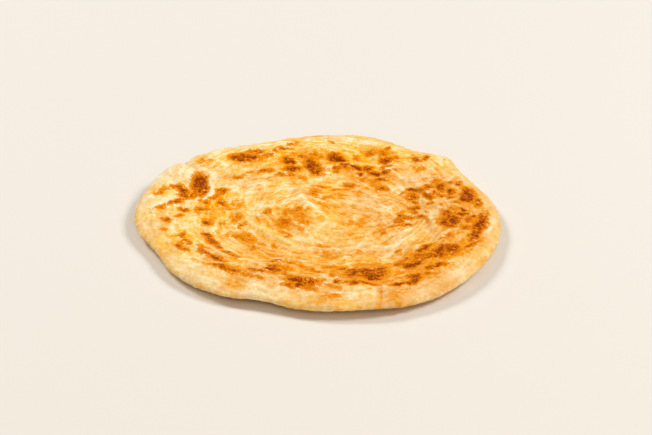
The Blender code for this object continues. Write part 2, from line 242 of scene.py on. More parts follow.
# Marks of the hot pan: x, y, half length, half width, turn, and heat, which scorches the dough at 1
PAN_MARKS = (
    # left, beside the lobe
    (-73, 25.5, 11, 4.4, 97, 0.88), (-73, 30, 5.5, 2.6, 103, 1.0), (-71, 22.5, 5, 2.3, 98, 1.0),
    (-76, 15, 4, 2.4, 60, 0.62), (-82, 18, 6, 3.4, -52, 0.84), (-82, 12.5, 3.4, 2.4, 0, 0.82),
    (-95, 18.5, 4.2, 3.4, 20, 0.34), (-88, 21, 4, 2.2, -16, 0.46), (-85, 19.5, 3.4, 2.4, -50, 0.8),
    (-98, 14.5, 5, 3.4, 70, 0.46), (-86.5, 4, 9, 1.7, 42, 0.67), (-95, -4, 4.5, 2, 30, 0.46),
    (-59, 22.5, 4.5, 2.2, 50, 0.8), (-63.5, 15, 5, 1.4, 60, 0.46), (-68.5, 8.5, 3.6, 2.2, 0, 0.5),
    (-58, 11, 5, 2.4, -60, 0.62), (-54, 4, 4, 2.6, 0, 0.38), (-49, 11, 9, 6, 80, 0.22),
    (-69.5, 0, 5, 2, 20, 0.6), (-80.5, -3, 3.2, 2.6, 0, 0.68), (-74, 60.5, 4.2, 1.8, -62, 0.34),
    (-70, 60.5, 4.2, 1.8, 65, 0.32), (-45.5, 74, 4.6, 3, 55, 0.52),
    # back left
    (-46.5, 67, 9.6, 4.8, 3, 0.8), (-54.5, 65.5, 3, 1.8, 0, 0.95), (-48.5, 64, 4.5, 2, 0, 1.0),
    (-43.5, 67, 3.6, 2, 0, 1.0), (-39.5, 76, 4.8, 3, 60, 0.62),
    (-33, 70.5, 4.6, 1.9, 0, 0.6), (-29, 77, 3, 2, 90, 0.45), (-22, 81.5, 6, 2.6, -5, 0.5),
    (-18, 88.5, 6, 3.4, 60, 0.4), (-19.5, 66.5, 4.6, 3.4, -30, 0.88), (-17, 59, 5.4, 3.2, 15, 0.82),
    (-11.5, 73, 2.6, 2.2, -40, 0.6), (-3.5, 61.5, 9.5, 4.6, -63, 1.0), (-4, 74, 2.6, 2.2, 0, 0.72),
    (-34, 54.5, 5.5, 2.2, 28, 0.5), (-45, 50, 6, 1.6, 40, 0.35), (-51, 44, 3.2, 2, 20, 0.65),
    (-24.5, 52.5, 4, 1.8, 5, 0.55), (-17, 53, 3, 1.6, 0, 0.45), (-10, 49, 3.5, 2.2, -20, 0.42),
    (-2, 29, 8, 4, 76, 0.42), (1.5, 40, 6, 2.2, -5, 0.38), (5, 22.5, 5, 2.6, 10, 0.42),
    (11, 36, 5, 2.4, 10, 0.42),
    # back right
    (11, 71.5, 6, 3.8, -42, 0.95), (23, 72.5, 2.6, 3.4, 0, 0.4), (17, 63.5, 4.5, 2.8, -20, 0.9),
    (24, 62, 4, 2.8, -5, 1.0), (31, 61, 3.5, 2.8, 0, 0.85), (11.5, 59, 3.6, 2.6, 80, 0.6),
    (35.5, 54.5, 4.5, 3.4, -20, 1.0), (42, 55, 2.6, 2.6, 0, 0.85), (43, 61, 3.4, 3.4, 0, 0.55),
    (25.5, 54.5, 3, 1.8, 0, 0.85), (39.5, 47, 4.2, 3, 0, 0.78), (35, 43.5, 3, 2.6, 0, 0.5),
    (27, 47.5, 3.8, 1.8, 90, 0.6), (39.5, 35.5, 4.6, 3.4, -15, 0.6), (19, 41.5, 5, 2.6, -45, 0.5),
    (17, 36.5, 2.5, 2, -30, 0.36), (33, 78, 5, 4, 60, 0.54), (41.5, 77, 4.5, 3.4, 60, 0.6),
    (43.5, 84, 4.6, 1.9, 70, 0.55), (43, 69.5, 4.6, 3.4, 20, 0.82), (49, 71, 2.6, 2.2, 0, 0.6),
    (62, 67.5, 4.2, 2.4, 100, 0.82), (68.5, 71, 7, 1.9, 78, 0.7), (64, 55.5, 5, 2.5, 50, 0.3),
    (81, 70, 3, 2.2, 70, 0.65), (7, 93.5, 3.5, 2, -45, 0.36), (48, 56.5, 2.2, 2, 0, 0.45),
    # right
    (73, 40.5, 2.8, 2.6, 0, 0.65), (76.5, 33, 5.8, 3.4, 90, 0.95), (82, 28, 4, 2.4, 80, 0.9),
    (82, 39.5, 2.4, 2.4, 30, 0.5), (87.5, 39, 4, 2.2, 75, 0.8), (92.5, 24, 10.5, 5.4, 88, 0.88),
    (91, 24, 4, 3.2, 0, 1.0), (91.5, 17, 4, 4.2, 0, 1.15), (94.5, 30, 3, 2.8, 0, 1.0),
    (59, 32, 4.8, 2, -25, 0.78), (65, 29.5, 3.2, 2.4, 0, 0.8), (52, 29.5, 2.4, 1.3, 20, 0.55),
    (68.5, 34, 3.4, 2.8, 0, 0.74), (69, 22, 3.8, 2, 0, 0.66), (65.5, 24.5, 2.2, 1.4, 80, 0.7),
    (71.5, 25, 2.6, 1.3, 100, 0.7), (58, 25.5, 6, 4.4, 70, 0.54), (59.5, 19, 2.6, 2, 0, 0.62),
    (76, 23.5, 3.2, 2.4, -30, 0.58), (81, 20.5, 4, 3.4, 0, 0.42), (68.5, 16, 2.2, 1.8, 0, 0.62),
    (59, 12, 4.2, 2.6, 20, 0.68), (58.5, 7.5, 3.6, 2, -70, 0.66), (63, -1.5, 3.8, 1.9, -50, 0.55),
    (50, 2, 7.5, 2.4, 80, 0.64), (54, 0.5, 4.6, 3.6, -40, 0.6), (88.5, 2.5, 3, 2.3, 0, 0.85),
    (88, -3.5, 2.8, 2.7, 60, 0.8), (78, -2, 3.4, 2.4, 80, 0.8), (101, -3, 9.5, 3, 80, 0.96),
    (83, 0, 9, 9, 0, 0.38), (96, 30.5, 6, 3, 95, 0.75), (75, 11, 2.5, 1.5, 90, 0.5),
    (98, 14, 7, 2.4, 82, 0.72), (85, 13, 4, 3, 0, 0.44),
    # right front
    (79, -12, 8, 6.8, 60, 0.94), (81, -10.5, 4.8, 3.4, 75, 1.3), (90, -11, 5, 3.4, 80, 0.5),
    (88, -20.5, 4, 3, 20, 0.62),
    (97.5, -16, 8.5, 4.4, 60, 1.1), (99.5, -9, 5.5, 3.5, 75, 1.05), (93.5, -7.5, 3, 1.6, 60, 0.65),
    (92.5, -29, 9, 3, 68, 0.84), (91, -40.5, 11, 1.9, 52, 0.7), (73.5, -51.5, 10.5, 6, 38, 0.88),
    (75, -50, 4.2, 3, 38, 1.0), (68.5, -56, 4.2, 2.6, 38, 1.0), (79, -48, 3, 2.2, 38, 1.0),
    (73, -46, 3.6, 2.2, 38, 0.8),
    (63, -54.5, 12.5, 8, 42, 0.52), (61.5, -46, 10.5, 1.5, 42, 0.82), (73, -33, 2, 1.3, 70, 0.55),
    (53, -65, 5, 4, 80, 0.86), (57.5, -62, 3.5, 2.6, 30, 0.78), (51.5, -56, 2.5, 2.2, 60, 0.62),
    (47.5, -63, 7, 3.2, 80, 0.54), (67.5, -67, 7.5, 2, 27, 0.9), (55.5, -79, 5, 3.4, 45, 0.86),
    (55, -84, 8, 2.4, 40, 0.72), (48, -87.5, 8, 1.5, 30, 0.86), (64, -75.5, 5, 2.2, 20, 0.6),
    (47.5, -46, 3, 1.8, 70, 0.4), (77.5, -32, 6.5, 3, 80, 0.5),
    (45, -98, 8, 2.6, 25, 0.42), (37, -102.5, 5, 2.2, 5, 0.45), (39, -20.5, 5, 2.4, 90, 0.45),
    (45, -13, 4.4, 1.8, 10, 0.45), (53, -11, 3, 2.3, 20, 0.78), (57, 0, 1.4, 1.6, 90, 0.6),
    (49, -5, 5.5, 3.2, 80, 0.68), (66, -9, 3.6, 1.8, -65, 0.4), (24.5, -44.5, 3, 2.4, 90, 0.28),
    # front
    (6, -48, 5, 3.4, 75, 0.42), (4.5, -39, 4.2, 2, 5, 0.36), (9, -65, 5, 3, 10, 0.46),
    (17, -68, 6.5, 3.4, -5, 0.58), (28, -76, 13, 9, 0, 0.71), (32, -82, 6.6, 4, -4, 1.1),
    (38.5, -80, 2.6, 2, 0, 0.6), (21.5, -74, 8.5, 3, 84, 0.88), (36, -69, 5.5, 4.2, 60, 0.66),
    (12.5, -86, 3.4, 1.7, 80, 0.92), (4, -86, 4, 1.6, 80, 0.46), (24, -89.5, 10.5, 1.4, -12, 0.9),
    (9, -92, 8, 1.9, -25, 0.37), (8.5, -103, 6, 3.2, 10, 0.5), (-2, -96, 5, 2.2, -10, 0.45),
    (-1, -70.5, 7, 2.2, -40, 0.46), (10, -77.5, 3.4, 2.2, -20, 0.48), (-7, -88.5, 9.5, 5.6, -12, 0.82),
    (-13, -82, 6, 2.8, -10, 0.5), (-14, -93.5, 5, 2, -10, 0.46), (-16, -71, 4, 3, 0, 0.45),
    (-11.5, -88, 4.2, 2.8, 0, 1.0),
    (-3.5, -89.5, 3.8, 3, 0, 1.0), (-9, -93, 3.6, 1.8, 0, 1.0), (-23, -75, 7, 5.2, 90, 0.75),
    (-26, -73.5, 5, 3, 78, 0.95), (-18, -76, 4, 2, 90, 0.7), (-23, -64, 6.4, 1.6, -5, 0.46),
    (-14, -63, 3, 1.6, 20, 0.42), (-8, -67, 5, 1.9, -38, 0.42),
    # front left
    (-52.5, -74.5, 7.2, 2.1, -26, 0.75), (-46, -79, 4.5, 2.2, -20, 0.82), (-40, -82, 5.5, 1.6, -22, 0.6),
    (-37, -85.5, 5, 1.4, -30, 0.5), (-31, -88, 3, 1.4, -30, 0.5), (-35, -78, 4.4, 2.6, -35, 0.52),
    (-30, -81, 3, 2, -40, 0.6),
    (-66, -52, 5, 2.1, -80, 0.46), (-63, -59, 4.5, 2.4, -48, 0.66), (-57, -63.5, 5, 2.8, -42, 0.86),
    (-52, -67, 3.4, 2, -20, 0.62),
    (-78, -36.5, 3, 2.2, 80, 0.64), (-78.5, -49, 6, 2.1, -84, 0.58), (-75.5, -55.5, 3.6, 1.8, -35, 0.5),
    (-90, -30, 2.6, 2.4, 0, 0.3),
    (-76.5, -43, 3.2, 1.6, 5, 0.56), (-73, -46, 3.6, 1.6, -75, 0.5), (-63.5, -34.5, 4, 1.9, -42, 0.94),
    (-60.5, -41, 6, 2.7, -58, 0.86), (-57, -48.5, 4.5, 2.2, -60, 0.54), (-51, -55, 3.6, 2.4, -20, 0.66),
    (-46.5, -59.5, 5.5, 3, -50, 0.62), (-43, -33, 9.6, 5.6, -24, 0.43), (-36, -45.5, 4.2, 2.4, 90, 0.5),
    (-31, -39, 3, 1.4, -20, 0.4), (-24.5, -42, 3, 2, -70, 0.46),
    # left of the middle, and the middle rise
    (-65, -14, 6, 5, 90, 0.38), (-65.5, -15, 4.2, 2.4, 90, 0.74), (-72, -5, 3, 2.6, 90, 0.34),
    (-56.5, -16, 4, 2.4, 80, 0.36), (-48.5, -9.5, 9, 3.8, 80, 0.36), (-45, -19, 3.6, 2.4, 60, 0.46),
    (-30, -2, 4.5, 2.4, 90, 0.42), (-89, -19, 3.2, 2.8, 0, 0.66), (-82, -11, 3.4, 2, 60, 0.45),
    (-20, -18, 7.5, 4.8, 80, 0.48), (-18, -4.5, 5, 4.4, 90, 0.38), (-12, -2, 5, 3, 70, 0.44),
    (-11, -9, 8, 5, -70, 0.34), (-8, -17, 4.4, 3.2, -40, 0.34), (-17, -31.5, 2.5, 1.3, 10, 0.4),
)

# How much wider than its mark a halo is each way, and its share of the heat
HALO_WIDTH = 0.0019
HALO_HEAT = 0.36

# How far the edges of the marks wander: lump length, metres, and the seeds for x and y
MARK_WANDERS = (
    (0.0075, 0.0010, 31, 41),
    (0.0030, 0.0008, 32, 42),
)

# A vein stands clear of the pan, and is spared this share of the heat
VEIN_SPARED = 0.25

# Areas that cooked more golden, or stayed paler where the last value is below 0, some of them painted
# shade and painted highlight: rows as above
GOLDEN_AND_LIGHT_AREAS = (
    # the middle: the rise, its ridge paler as painted highlight, and the level stretch right of it more
    # golden as painted shade
    (-14, -10, 19, 14, 60, 0.16), (-3, 4, 22, 5.5, -52, -0.34), (4, -27, 13, 7, -80, -0.5),
    (32, -8, 15, 15, 0, 0.28), (17, -3, 7, 6, 0, -0.28), (6, 4, 10, 6, -55, 0.46),
    (40, 3, 5, 5, 0, -0.16), (35, 20, 9, 5, 0, -0.26), (-36, 2, 5, 17, 5, -0.24),
    (-34, 11, 13, 7, 0, -0.4), (12, 14, 12, 6, 0, 0.26), (6, 27, 8, 4, 0, 0.48),
    (-21, 6, 5, 4, 0, -0.26), (-18, -26, 9, 4, 0, 0.36), (35, -14, 5, 5, 0, 0.18),
    (-2, -18, 4, 5, 0, 0.3), (-10, 21, 4, 8, 0, 0.32), (26, 12, 5, 6, 0, 0.2), (33, -31, 10, 4, 0, -0.2),
    (15, -33, 6, 5, 0, 0.22), (43, 27, 6, 5, 0, 0.22), (-30, -14, 6, 4, 0, 0.3), (21, 35, 5, 4, 0, 0.3),
    (-25, 42, 4, 8, 0, -0.24), (48, -40, 5, 5, 0, -0.2), (5, -41, 5, 5, 0, 0.24), (58, -38, 3, 5, 0, 0.36),
    # the back
    (5, 50, 9, 4, 5, -0.34), (8, 83, 12, 5, -10, -0.16),
    (5, 66, 4, 10, 0, 0.4), (14, 98, 14, 7, 0, -0.44), (40, 92, 13, 5, -35, -0.5),
    (-29, 87, 9, 7, 0, -0.66), (-6, 91, 4, 8, 20, -0.26), (-52, 56, 8, 5, 0, -0.46),
    (-42, 82, 5, 5, 0, 0.4), (-28, 78, 12, 3, 8, 0.16), (-17, 93, 4, 6, 0, 0.16),
    (6, 94, 3, 5, 0, 0.34), (-63, 69, 9, 4, 40, -0.4),
    (-36, 46, 15, 6, 8, 0.22), (-24, 58, 8, 5, 0, -0.18), (-32, 31, 14, 6, 10, -0.3),
    (-57, 34, 8, 3, 0, 0.12), (-18, 23, 7, 5, 0, -0.38), (-77, 55, 5, 8, 0, 0.42),
    (52, 65, 4, 7, 0, -0.26), (38, 80, 13, 4, 0, 0.34), (52, 88, 6, 4, -30, -0.3),
    (57, 40, 4, 4, 0, -0.28),
    (31, 46, 11, 8, -30, 0.32), (52, 34, 7, 7, 0, -0.3), (86, 54, 4, 11, 30, -0.28),
    # the left
    (-70, 38, 10, 7, -40, -0.6), (-65.5, 20.5, 4, 8, -14, -0.75), (-50, 27, 8, 4, 0, -0.42),
    (-76, 4, 4, 5, 0, -0.34),
    (-37, -25, 9, 6, -20, -0.26), (-54, -24, 18, 8, -60, 0.1), (-62, -1, 11, 6, 0, 0.28),
    (-76, -16, 6, 7, 0, -0.5), (-76, 10, 5, 3, 0, -0.24),
    (-92, 36, 20, 24, 0, -0.46), (-89, 8, 9, 5, 45, -0.2), (-90, -14, 11, 26, 6, -0.38),
    (-104, 0, 5, 14, 0, -0.44), (-99, 15, 5, 8, 0, 0.42), (-91, 13, 4, 3, 0, 0.3),
    (-94, -15, 6, 8, 0, 0.26), (-92, -38, 5, 6, 0, 0.4), (-54, -32, 5, 4, 0, -0.24),
    (-84, 36, 5, 5, 0, -0.34), (-98, -8, 4, 3, 0, 0.36), (-80, -43, 4, 6, 0, 0.26),
    (-83, -54, 4, 6, -30, 0.4), (-69, -28, 8, 8, 0, -0.42), (-83, -31, 5, 4, 0, -0.3),
    (-88, -42, 6, 9, 30, 0.2),
    # the front
    (-30, -48, 14, 9, -42, 0.4), (-46, -92, 8, 4, -15, 0.34), (2, -77, 5, 4, 0, 0.24),
    (-43, -52, 5, 5, 0, -0.26), (-46, -37, 5, 4, -30, 0.3), (-43, -69, 9, 4, -10, -0.3),
    (-73, -71, 13, 6, -55, -0.5), (-57, -78, 9, 6, -30, -0.26), (-25, -98, 9, 7, 0, -0.5),
    (-59, -50, 4, 6, -40, 0.22), (10, -72, 50, 14, 4, 0.2),
    (9, -49, 5, 8, 0, 0.18), (-18, -57, 13, 4, 0, 0.22), (-6, -39, 6, 7, 0, -0.28),
    (31, -64, 9, 4, 5, 0.52), (32, -48, 8, 5, -20, 0.45), (10, -69, 9, 7, 0, 0.4),
    (50, -51, 6, 5, 30, 0.3), (47, -79, 3, 6, 0, 0.3), (-20, -46, 5, 4, 0, 0.3), (-17, -70, 5, 4, 0, 0.4),
    (-20, -90, 3, 8, 0, -0.34), (18, -54, 5, 7, 0, -0.24), (73, -64, 4, 6, 0, -0.22),
    (65, -56, 36, 16, 42, 0.32), (38, -89, 14, 6, 10, 0.28), (64, -74, 9, 8, 0, 0.4),
    (24, -101, 12, 6, 0, -0.5),
    (41, -103, 11, 5, 20, 0.75), (63, -91, 12, 6, 35, 0.24), (80, -68, 6, 9, -30, -0.28),
    (52, -42, 14, 7, 0, -0.08), (57, -26, 5, 8, -35, -0.3), (9, -107, 6, 4, 0, 0.5),
    # the right
    (73, 48, 9, 6, 30, 0.42), (60, 62, 3, 4, 0, 0.24), (89, 0, 12, 30, 0, 0.28),
    (69, -15, 4, 5, 20, 0.4), (43, 18, 7, 6, 0, 0.26), (68, 24, 14, 12, 0, 0.2),
    (68, 13, 10, 7, 0, 0.14), (76, 8, 5, 4, 0, 0.26),
    (95, 20, 6, 16, 0, 0.22), (72, -20, 8, 5, 0, 0.18),
)

# How golden the dough is elsewhere and how unevenly, by lump length, amount and seed, and how much paler
# it is on crests, on veins and at the edges of the layers. On crests this is partly painted highlight, and
# in hollows the same amount makes the dough darker as painted shade.
GOLD_LEVEL = 0.565
GOLD_LUMPS = (
    (0.030, 0.20, 41),
    (0.011, 0.16, 42),
)
CREST_PALENESS_AND_HIGHLIGHT = 0.24
VEIN_PALENESS = 0.36
LAYER_EDGE_PALENESS = 0.15
LAYER_EDGE_WIDTH = 0.12

# The rim stood clear of the pan: the heat fades out between two shares of the radius, where this much is
# left of the gold and of its patches. Between the next two shares its side is painted a little more golden,
# as painted warm shade.
PALE_RIM_SHARE = (0.88, 0.98)
RIM_GOLD = 0.70
RIM_PATCHINESS = 0.55
PAINTED_RIM_SHADE_SHARE = (0.955, 0.995)
PAINTED_RIM_SHADE_GOLD = 0.06

# Areas that took up more of the fat, or stayed drier where the last value is below 0. Most of them
# also paint light and shade: yellower as painted light where lit, tanner as painted shade where in shade
FAT_AND_LIGHT_AREAS = (
    (-5, 78, 85, 24, 0, 0.45), (-60, 0, 24, 50, 10, 0.34), (-84, -36, 14, 26, 20, 0.3),
    (-97, 16, 10, 10, 0, 0.3), (-2, -2, 30, 16, -50, 0.3), (8, 32, 26, 10, 10, 0.25),
    (34, 10, 14, 30, 20, -0.34), (82, 6, 26, 36, 0, -0.5), (60, 43, 16, 8, 20, -0.3),
    (46, -50, 8, 18, 20, -0.3), (60, -85, 36, 12, 24, -0.5), (-15, -88, 30, 14, -10, -0.45),
    (-65, 78, 16, 6, 24, -0.6), (-88, 52, 10, 16, -30, -0.4), (-45, 34, 14, 7, 0, -0.3),
    (-86, 40, 14, 12, 0, -0.4), (-68, 33, 9, 10, 20, -0.4),
)

# How much fat the dough took up elsewhere and how unevenly, and how much less the rim took up
FAT_LEVEL = 0.40
FAT_LUMPS = (
    (0.0170, 0.30, 43),
    (0.0065, 0.22, 44),
)
DRY_RIM = 0.15

# Crests stay pale, being thin and clear of the pan, and are lighter still as painted highlight, while
# hollows are darker as painted shade: how far round a place counts, and what makes it sharp
CREST_REACH = 0.0025
CREST_HEIGHT = 0.0005

# The underside has the top's pattern turned over about a level line: the cosine and sine of twice the
# line's direction
TURNING_OVER = (-0.6, -0.8)

# The skin's strands run along the fibres: length and width in millimetres
STRAND_LENGTH = 16
STRAND_WIDTH = 2.4

# The skin's colours as it turns golden and as it toasts, each with the value that shows it in full: first
# where it is dry, then where it took up fat
GOLDEN_COLOURS = (
    {"floury": 0.0, "pale_dry": 0.17, "dough_dry": 0.52, "golden_dry": 0.78, "amber_dry": 0.92,
     "orange": 1.0},
    {"floury": 0.0, "pale": 0.17, "dough": 0.47, "golden": 0.73, "amber": 0.90, "orange": 1.0},
)
MARK_COLOURS = {"orange": 0.41, "toast": 0.62, "brown": 0.83, "scorch": 1.0}
TOASTED_COLOURS = (
    {"golden_dry": 0.12, "amber_dry": 0.22, **MARK_COLOURS},
    {"golden": 0.12, "amber": 0.22, **MARK_COLOURS},
)

# The heat over which the toasted colours take the place of the golden ones, and the dullness over which the
# roughness goes from its least to its most, as changes to the mean
BROWNING = (0.14, 0.22)
DULLNESS = (-0.3, 0.5)
ROUGHNESS_CHANGE = (-0.12, 0.16)

# The skin's pores, the gloss of its fat, and the soft glow of light inside the dough: its share, how far
# red, green and blue go against each other, and the depth in metres
PORE_DEPTH = 0.0013
PORE_STRENGTH = 0.8
FAT_GLOSS = 0.05
GLOW_SHARE = 0.15
GLOW_REACH = (1.0, 0.60, 0.30)
GLOW_DEPTH = 0.0012

# The studio. Lights: name, place, width, watts, colour
LIGHTS = (
    ("key", (2.0, 0.3, 1.9), 1.0, 43, "#FFFFFF"),
    ("side", (-1.7, 1.3, 2.0), 1.0, 40, "#FFFFFF"),
    ("fill", (0.3, -2.4, 1.8), 2.2, 24, "#FFE9CE"),
)
ROOM_COLOUR = "#FFF4E6"
ROOM_STRENGTH = 0.31
FLOOR_SIZE = 6
FLOOR_ROUGHNESS = 0.7

# The photograph's frame and where its camera stood
IMAGE_WIDTH, IMAGE_HEIGHT = 652, 435
LENS, SENSOR = 85, 36
TARGET = Vector((0, 0, 0.008))
TARGET_PIXEL = (317.7, 211.6)


def linear(hex_colour):
    """A colour given as sRGB hex, as the linear values that shaders take."""
    values = [int(hex_colour[start:start + 2], 16) / 255 for start in (1, 3, 5)]
    return tuple(v / 12.92 if v <= 0.04045 else ((v + 0.055) / 1.055) ** 2.4 for v in values)


def bell(offset, spread):
    """1 at the middle, falling smoothly to nothing within twice the spread."""
    return np.exp(-((offset / spread) ** 2))


def ramp(value, low, high):
    """0 below low, 1 above high, smooth between."""
    share = np.clip((value - low) / (high - low), 0, 1)
    return share * share * (3 - 2 * share)


def lumps(x, y, length, seed):
    """Smooth noise between about -1 and 1, with lumps of that length."""
    spins = np.random.default_rng(seed).uniform(0, 2 * np.pi, (CELLS, CELLS))
    u, v = x / length + CELLS / 2, y / length + CELLS / 2
    column, row = np.floor(u).astype(int), np.floor(v).astype(int)
    u, v = u - column, v - row
    fade_u, fade_v = ramp(u, 0, 1), ramp(v, 0, 1)
    total = 0
    for right in (0, 1):
        for up in (0, 1):
            spin = spins[(row + up) % CELLS, (column + right) % CELLS]
            lean = np.cos(spin) * (u - right) + np.sin(spin) * (v - up)
            total = total + lean * np.abs(1 - right - fade_u) * np.abs(1 - up - fade_v)
    return LUMP_GAIN * total


def uneven(x, y, sizes):
    """Lumps of several sizes, added up."""
    return sum(amount * lumps(x, y, length, seed) for length, amount, seed in sizes)


def round_the_rim(direction, changes):
    """The sum of changes that each belong to one direction."""
    total = np.zeros_like(direction)
    for middle, spread, amount in changes:
        total += amount * bell((direction - middle + 180) % 360 - 180, spread)
    return total


def outline(direction):
    """Distance from the plan's middle to the bread's edge."""
    return MEAN_RADIUS + round_the_rim(direction, OUTLINE_CHANGES)


def softened(path, rounds=3):
    """The path as one curve, its corners cut a quarter of the way along each stretch."""
    points = np.array(path)
    for _ in range(rounds):
        first, second = points[:-1], points[1:]
        cut = np.stack([0.75 * first + 0.25 * second, 0.25 * first + 0.75 * second], 1)
        points = np.vstack([points[:1], cut.reshape(-1, 2), points[-1:]])
    return points


def fold(x, y, path, half_width):
    """1 along the path, falling away to its sides and fading out towards its two ends."""
    path = softened(path)
    nearest, reached = np.full_like(x, np.inf), np.zeros_like(x)
    for k, ((x0, y0), (x1, y1)) in enumerate(zip(path, path[1:])):
        run_x, run_y = x1 - x0, y1 - y0
        along = ((x - x0) * run_x + (y - y0) * run_y) / (run_x**2 + run_y**2)
        along = np.clip(along, 0, 1)
        distance = np.hypot(x - x0 - along * run_x, y - y0 - along * run_y)
        closer = distance < nearest
        nearest = np.where(closer, distance, nearest)
        reached = np.where(closer, (k + along) / (len(path) - 1), reached)
    ends = ramp(reached, 0, FOLD_FADE_SHARE) * ramp(1 - reached, 0, FOLD_FADE_SHARE)
    crest = bell(nearest, FOLD_CREST_WIDTH * half_width)
    return ends * (crest * FOLD_CREST_SHARE + bell(nearest, half_width) * (1 - FOLD_CREST_SHARE))


def swelling(x, y, place, half_length, half_width, turn, height):
    """One oval rise, or a hollow where the height is below 0."""
    cos, sin = math.cos(math.radians(turn)), math.sin(math.radians(turn))
    along = ((x - place[0]) * cos + (y - place[1]) * sin) / half_length
    across = ((y - place[1]) * cos - (x - place[0]) * sin) / half_width
    return height * np.exp(-((along**2 + across**2) ** SWELLING_POWER))


def blisters(x, y):
    """Small blisters and dimples between the middle and the rim."""
    draw = np.random.default_rng(BLISTER_SEED)
    total = np.zeros_like(x)
    for _ in range(BLISTER_COUNT):
        direction = draw.uniform(0, 360)
        reach = MEAN_RADIUS * math.sqrt(draw.uniform(BLISTER_REACH[0] ** 2, BLISTER_REACH[1] ** 2))
        place = reach * math.cos(math.radians(direction)), reach * math.sin(math.radians(direction))
        half_length, half_width = draw.uniform(*BLISTER_HALF_WIDTH, 2)
        height = draw.uniform(*BLISTER_HEIGHT)
        total += swelling(x, y, place, half_length, half_width, direction + 90, height)
    return total


def layer_turns(x, y):
    """How many turns of the coiled dough lie between its middle and each place."""
    x, y = x - LAYER_CENTRE[0], y - LAYER_CENTRE[1]
    turns = np.hypot(x, y) / LAYER_PITCH + np.arctan2(y, x) / (2 * np.pi)
    return turns + uneven(x, y, LAYER_WANDERS)


def layers_show(x, y):
    """1 where the edges of the layers show, 0 at the rim and where they are pressed flat."""
    inside = 1 - ramp(np.hypot(x, y) / MEAN_RADIUS, *LAYER_REACH)
    return inside * ramp(lumps(x, y, LAYER_PATCH_LENGTH, LAYER_PATCH_SEED), *LAYER_PATCH_EDGE)


def layers(x, y):
    """Low steps where one layer ends on the next, each rising fast and falling away slowly."""
    share = layer_turns(x, y) % 1
    return LAYER_HEIGHT * layers_show(x, y) * (ramp(share, 0, LAYER_STEP_SHARE) - share)


def relief(x, y):
    """How far the top stands above or below an even one."""
    total = layers(x, y) + blisters(x, y)
    for height, half_width, path in FOLDS:
        total += height * fold(x, y, path, half_width)
    for place, half_length, half_width, turn, height in SWELLINGS:
        total += swelling(x, y, place, half_length, half_width, turn, height)
    return total + uneven(x, y, LUMPS)


def bread_height(x, y, slope):
    """Height of the surface. The slope is 90 on the top, 0 at the very edge and -90 underneath."""
    direction = np.degrees(np.arctan2(y, x))
    share = np.hypot(x, y) / outline(direction)
    lifted = ramp(share, RESTING_SHARE, LIFTED_SHARE)
    wave = RIM_WAVE_HEIGHT * lumps(x, y, RIM_WAVE_LENGTH, RIM_WAVE_SEED)
    under = lifted * (LIP_HEIGHT + round_the_rim(direction, LIFT_CHANGES) + wave)
    middle = under + THICKNESS / 2
    if slope < 0:
        below = THICKNESS / 2 + lifted * uneven(x, y, UNDER_LUMPS)
        return middle + below * math.sin(math.radians(slope))
    puffed = PUFFED_RING_HEIGHT * bell(share - PUFFED_RING_SHARE, PUFFED_RING_WIDTH)
    inset = outline(direction) - np.hypot(x, y)
    shows = RIM_CREASE_DEPTH * bell(direction - RIM_CREASE_DIRECTION, RIM_CREASE_SPREAD)
    crease = shows * bell(inset - RIM_CREASE_INSET, RIM_CREASE_WIDTH)
    above = THICKNESS / 2 + puffed + relief(x, y) - crease
    return middle + above * math.sin(math.radians(slope))


def ring(share, slope, spacing):
    """Places of one ring. The share runs from the middle to where the nose starts to turn down."""
    count = max(1, round(2 * math.pi * MEAN_RADIUS * share / spacing))
    direction = np.arange(count) * 360 / count
    nose = NOSE_DEPTH if slope >= 0 else UNDER_NOSE_DEPTH
    reach = (outline(direction) - nose) * share + nose * math.cos(math.radians(slope))
    x = reach * np.cos(np.radians(direction))
    y = reach * np.sin(np.radians(direction))
    height = bread_height(x, y, slope)
    pleats = lumps(direction * RIM_PLEAT_COUNT / 360, height / RIM_PLEAT_HEIGHT, 1, RIM_PLEAT_SEED)
    grown = 1 + RIM_PLEAT_DEPTH * math.cos(math.radians(slope)) * pleats / MEAN_RADIUS
    x, y = x * grown, y * grown
    if slope > 0:
        height += fine_relief(x, y) * math.sin(math.radians(slope))
    return np.stack([x, y, height], 1)


def bubbles(x, y):
    """A small bubble or pit in each cell of a loose grid, of random size, height and place in its cell."""
    ranges = np.array([BUBBLE_PLACE_IN_CELL, BUBBLE_PLACE_IN_CELL, BUBBLE_RADIUS, BUBBLE_HEIGHT])
    low, high = ranges.T.reshape(2, len(ranges), 1, 1)
    draw = np.random.default_rng(BUBBLE_SEED)
    shift_x, shift_y, radius, height = draw.uniform(low, high, (len(ranges), CELLS, CELLS))
    column, row = np.floor(x / BUBBLE_SPACING).astype(int), np.floor(y / BUBBLE_SPACING).astype(int)
    total = np.zeros_like(x)
    for right in (-1, 0, 1):
        for up in (-1, 0, 1):
            cell = (row + up) % CELLS, (column + right) % CELLS
            across = x - (column + right + shift_x[cell]) * BUBBLE_SPACING
            along = y - (row + up + shift_y[cell]) * BUBBLE_SPACING
            total += height[cell] * bell(np.hypot(across, along), BUBBLE_SPREAD_SHARE * radius[cell])
    return total


def fibre_field(x, y):
    """A length whose level lines are the way the fibres run: rings, and level right of the middle."""
    turn = math.radians(LEVEL_TURN)
    level = LEVEL_START + y * math.cos(turn) - x * math.sin(turn)
    share = bell(np.hypot(x - LEVEL_PLACE[0], y - LEVEL_PLACE[1]), LEVEL_HALF_WIDTH)
    return np.hypot(x, y) * (1 - share) + level * share + uneven(x, y, FIBRE_WANDERS)


def fibres(x, y):
    """Long thin ridges, between about -1 and 1."""
    run = np.stack([x / FIBRE_LENGTH, y / FIBRE_LENGTH, fibre_field(x, y) / FIBRE_PITCH], -1)
    return np.array([noise.noise(place) for place in run])


